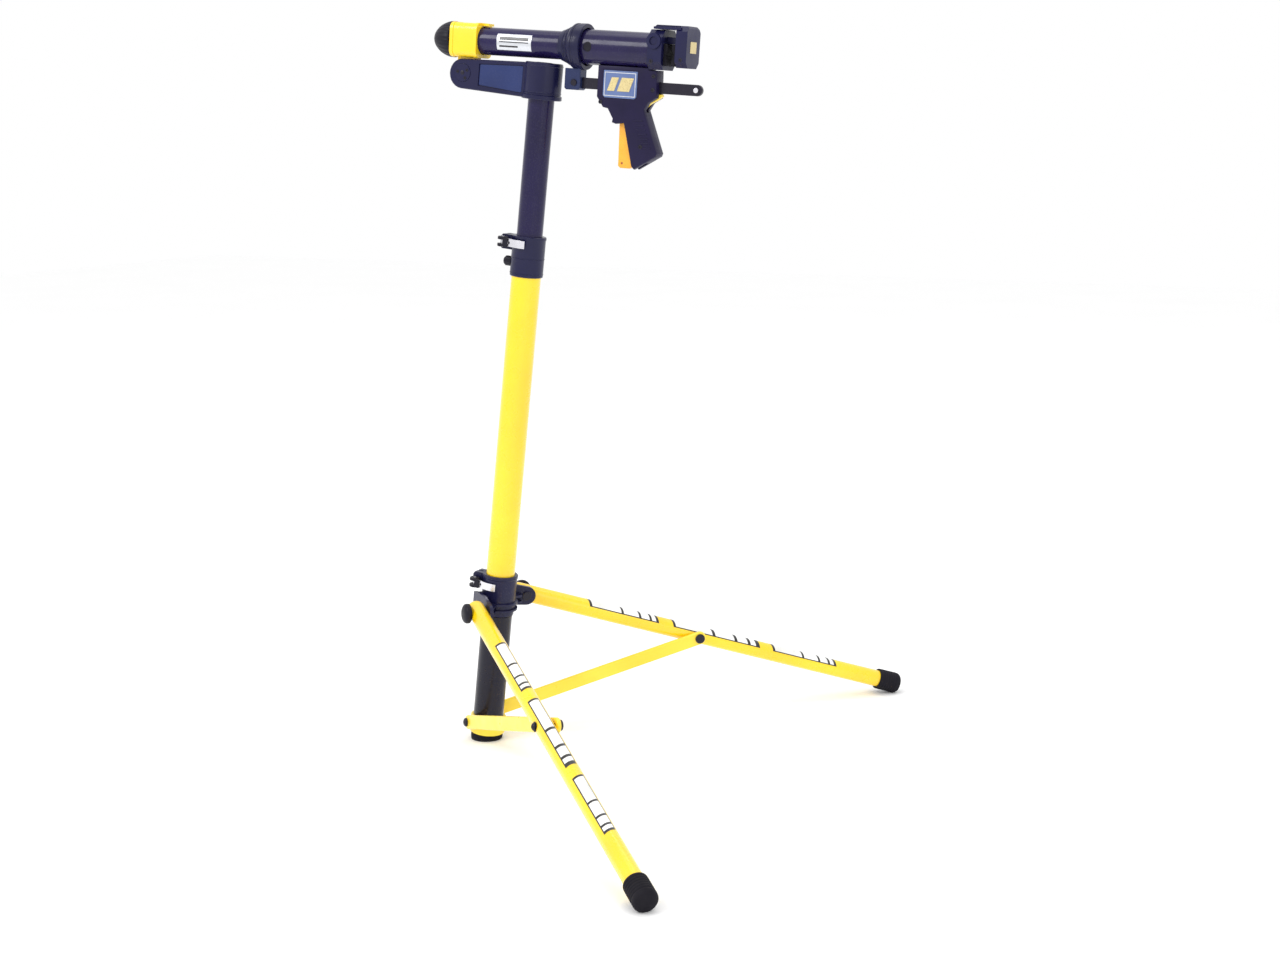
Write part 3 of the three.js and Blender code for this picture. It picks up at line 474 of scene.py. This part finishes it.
# ---- upper tube and arm --------------------------------------------------------------
R = 22.225
lathe("upper_tube_skin", [(R, 560), (R, 1189), (R - 2, 1189), (R - 2, 560)], MAST, "upper_post", "navy_tube", ("upper_tube",))
soften("upper_tube_glide", None, 0.3)
soften("head_arm", None, 0.7, seg=3)
soften("tilt_bolt", None, 0.4)
soften("tilt_washer", None, 0.4)
for sgn, y in ((-1, -18.75), (1, 18.75)):
    # painted inset panel on each side of the arm
    pts = [(-111, 1152.4), (-108.6, 1151.6), (-31, 1147), (-29, 1148.4), (-29, 1189.2), (-31, 1190.6), (-109.6, 1186), (-111, 1184.6)]
    slab(f"arm_panel_{'near' if sgn < 0 else 'far'}", pts, min(y, y + sgn * 0.7), max(y, y + sgn * 0.7), MAST, "upper_post", "blue_face", bevel=0.3)
for k, (dx, dz) in enumerate(((8.5, 4.6), (5.6, -8.4), (-9.4, 1.2))):
    lathe(f"arm_screw_{k}", [(0, 0.4), (1.3, 0.4), (1.3, 1.0), (2.4, 1.0), (2.7, 0.6), (2.7, -0.2), (0, -0.2)],
          MAST @ T(-143 + dx, -21.7, 1169 + dz) @ RX(math.pi / 2), "upper_post", "black_steel", n=24)
lathe("arm_disc_centre", [(0, 0.9), (2.6, 0.9), (3.4, 0.5), (3.4, -0.2), (0, -0.2)], MAST @ T(-143, -21.8, 1169) @ RX(math.pi / 2), "upper_post", "black_steel", n=32)
lathe("arm_socket_cap", [(0, 1200.2), (12, 1200.2), (13.5, 1199.9), (13.8, 1199.3), (0, 1199.3)], MAST, "upper_post", "navy_casting", n=64)
for z in (1150.5, 1194.5):
    lathe(f"socket_bead_{int(z)}", [(31.9, z - 1.2), (32.5, z - 0.5), (32.5, z + 0.5), (31.9, z + 1.2)], MAST, "upper_post", "navy_casting", n=80)

# ---- clamp head --------------------------------------------------------------------------
soften("swivel_hub", None, 0.9, seg=3)
lathe("inner_tube_skin", [(23, -24.6), (23, 338), (20.5, 338), (20.5, -24.6)], AX, "spindle", "navy_tube", ("inner_head_tube",))
lathe("spindle_plug_skin", [(0, -6), (20.2, -6), (20.2, -24.6), (22, -24.9), (22, -26.2), (8, -26.2), (8, -54.2), (7.2, -55), (0, -55)], AX, "spindle", "bright_steel", ("spindle_plug",), 64)
# end knob with fine ribs round its skirt
v, f = lathe_data([(8.35, -26.8), (28.9, -26.8), (29.7, -27.3), (30, -28.2), (30, -33), (29.7, -36), (28.5, -41), (26.8, -45.6), (24.5, -50.2), (21.5, -54.8), (18, -58.8), (14.6, -62), (11, -64.4), (7, -65.9), (3.5, -66.3), (0, -66.4), (0, -56), (8.35, -56)], 144)
vv = []
for x, y, z in v:
    rr = math.hypot(x, y)
    if rr > 21 and z < -27.1:
        a = math.atan2(y, x)
        k = 1 - 0.022 * max(0.0, math.cos(a * 24)) * min(1.0, (rr - 21) / 6)
        x, y = x * k, y * k
    vv.append((x, y, z))
finish_mesh("lock_knob_skin", make(vv, f, AX), "end_knob", "black_plastic", ("lock_knob",), angle=50)
lathe("thrust_collar_skin", [(23.3, 163), (24.6, 163), (25, 163.4), (25.8, 166), (28.2, 171.6), (28.4, 172.4), (27.9, 173.4), (28.1, 174.4), (31.6, 178.3), (31.7, 179), (31.2, 180), (31.5, 181), (35.8, 185.3), (37.2, 187.2), (37.5, 188), (37.5, 190.8), (36.5, 191.6), (36.4, 192), (36.4, 194.2), (36.6, 194.7), (37.5, 195.4), (37.5, 205.4), (37.1, 206.5), (36.2, 207), (31, 207), (30.2, 206.2), (30.2, 176), (23.3, 176)], AX @ T(0, 0, 16), "spindle", "navy_casting", ("thrust_collar",), 128, angle=26)
for n in ("bar_block", "bar_end_pin"):
    soften(n, None, 0.4)
soften("block_screw", "black_steel", 0.3)
soften("slide_bar", None, 0.6)
R = 28.5
lathe("outer_tube_skin", [(R - 0.4, 218), (R, 218.5), (R, 364), (R - 2.5, 364), (R - 2.5, 218)], AX, "sliding_jaw", "navy_tube", ("outer_head_tube",), 96)
lathe("tube_plug_skin", [(0, 24.6), (8, 24.6), (8, 28), (7.4, 28.5), (6.4, 28.8), (5.2, 28.6), (0, 28.6)], HEAD @ T(236, 0, AXIS_Z) @ RX(math.pi / 2), "sliding_jaw", "black_plastic", ("tube_plug",), 48)
soften("guide_ring", None, 0.3)
soften("jaw_hook", None, 0.9, seg=3)
soften("hook_pad", None, 0.6)
soften("jaw_housing", None, 0.9, seg=3)
soften("housing_pad", None, 0.6)
soften("grip_shell_near", None, 0.0, angle=40)
soften("grip_shell_far", None, 0.0, angle=40)
soften("trigger_lever", None, 0.5, angle=40)
soften("release_lever", None, 0.35, angle=40)
soften("trigger_pin", None, 0.2)
soften("release_pin", None, 0.15)
soften("badge_plate", None, 0.35)

# plate on the inner tube: brushed, with plain bars
lm = HEAD @ along_x(0, 0, AXIS_Z)
# in this frame angle 180 is up and 270 is the near side
v, f = patch_data(23, 0.35, 64, 129, 236, 304, 0, 24, 0.02)
finish_mesh("label_plate", make(v, f, lm), "spindle", "silver_label", angle=60)
bars = [patch_data(23, 0.12, 69, 124, 248, 262, 0, 14, 0.36), patch_data(23, 0.12, 69, 124, 268, 272, 0, 6, 0.36), patch_data(23, 0.12, 69, 104, 284, 291, 0, 8, 0.36)]
v, f = join(bars)
finish_mesh("label_bars", make(v, f, lm), "spindle", "decal_black", angle=60)

# plate on the grip: thin raised border and two plain slanted stripes
BM = HEAD @ T(293, -15.3, -2.5) @ RX(math.pi / 2)
v, f = join([box_data(-27, 27, 18, 19.2, -0.1, 0.5), box_data(-27, 27, -19.2, -18, -0.1, 0.5), box_data(-28.2, -27, -19.2, 19.2, -0.1, 0.5), box_data(27, 28.2, -19.2, 19.2, -0.1, 0.5)])
finish_mesh("badge_border", make(v, f, BM), "sliding_jaw", "silver_label")
stripes = []
for x, w in ((-19, 13), (-1, 22)):
    v, f = box_data(x, x + w, -11, 11, -0.1, 0.7)
    stripes.append(([(a + 0.35 * b, b, c) for a, b, c in v], f))
v, f = join(stripes)
finish_mesh("badge_stripes", make(v, f, BM), "sliding_jaw", "gold", bevel=0.2)

# plain plate on the end of the hook
EM = HEAD @ T(412, 0, AXIS_Z + 8) @ RY(math.pi / 2)
v, f = join([box_data(-9, 9, -12, 12, -0.2, 0.6)])
finish_mesh("end_plate", make(v, f, EM), "spindle", "gold", bevel=0.3)

# screws in the housing and the hook
for k, (x, z, y, b) in enumerate(((353, 37.5, -31.2, "sliding_jaw"), (402, 42, -26.5, "spindle"))):
    lathe(f"jaw_screw_{k}", [(0, 0.1), (1.4, 0.1), (1.4, 0.8), (2.8, 0.8), (3.2, 0.4), (3.2, -0.4), (0, -0.4)], HEAD @ T(x, y, z) @ RX(math.pi / 2), b, "black_steel", n=28)

# screws in the grip, and moulded ribs down its back
for k, (x, z) in enumerate(((259, -32), (352, 14), (336, -100), (352, -8))):
    lathe(f"grip_screw_{k}", [(0, 0.1), (1.5, 0.1), (1.5, 0.9), (3.0, 0.9), (3.5, 0.4), (3.5, -0.4), (0, -0.4)], HEAD @ T(x, -15, z) @ RX(math.pi / 2), "sliding_jaw", "black_steel", n=28)
for k in range(7):
    z = -60 - 7.2 * k
    x = 343.4 + (-58 - z) * 0.392
    slab(f"grip_rib_{k}", [(x - 24 + k * 0.4, z), (x - 6, z + 0.8), (x - 6, z + 3.0), (x - 24 + k * 0.4, z + 2.2)], -15.7, -14.6, HEAD, "sliding_jaw", "navy_plastic", bevel=0.5)

# ---- stage ------------------------------------------------------------------------------
fl = bpy.data.meshes.new("floor")
fl.from_pydata([(-9, -7, 0), (9, -7, 0), (9, 11, 0), (-9, 11, 0)], [], [(0, 1, 2, 3)])
floor = bpy.data.objects.new("floor", fl)
floor.location.z = -0.0006
scene.collection.objects.link(floor)
fm, nt, bs, co = start("floor_paper")
nt.links.new(mixc(nt, mapr(nt, noise(nt, co, 2.0, 3.0), 0, 1, 0.3, 0.7), (0.985, 0.985, 0.985, 1), (0.995, 0.995, 0.995, 1)), bs.inputs["Base Color"])
bs.inputs["Roughness"].default_value = 0.9
bs.inputs["Specular IOR Level"].default_value = 0.15
fl.materials.append(fm)

world = bpy.data.worlds.new("studio")
scene.world = world
world.use_nodes = True
world.node_tree.nodes["Background"].inputs[0].default_value = (1.0, 1.0, 1.0, 1)
world.node_tree.nodes["Background"].inputs[1].default_value = 1.0


def area(name, loc, target, size, power, colour=(1, 1, 1)):
    lt = bpy.data.lights.new(name, "AREA")
    lt.size = size
    lt.energy = power
    lt.color = colour
    ob = bpy.data.objects.new(name, lt)
    ob.location = loc
    ob.rotation_euler = (Vector(target) - Vector(loc)).to_track_quat("-Z", "Y").to_euler()
    scene.collection.objects.link(ob)


area("key", (-1.6, -2.6, 3.2), (0.1, 0, 0.7), 1.6, 55)
area("fill", (3.2, -2.2, 1.8), (0.2, 0, 0.6), 2.2, 14)
area("top", (0.4, 0.6, 3.6), (0.2, 0, 0.6), 2.4, 22)

cam = bpy.data.cameras.new("camera")
cam.sensor_width = 36
cam.lens = 1863.9 / 1280 * 36
cob = bpy.data.objects.new("camera", cam)
cob.location = (1.6145, -2.8229, 1.0741)
cob.rotation_euler = (math.pi / 2 - 0.18314, 0, 0.43382)
scene.collection.objects.link(cob)
scene.camera = cob
scene.view_settings.view_transform = "Standard"
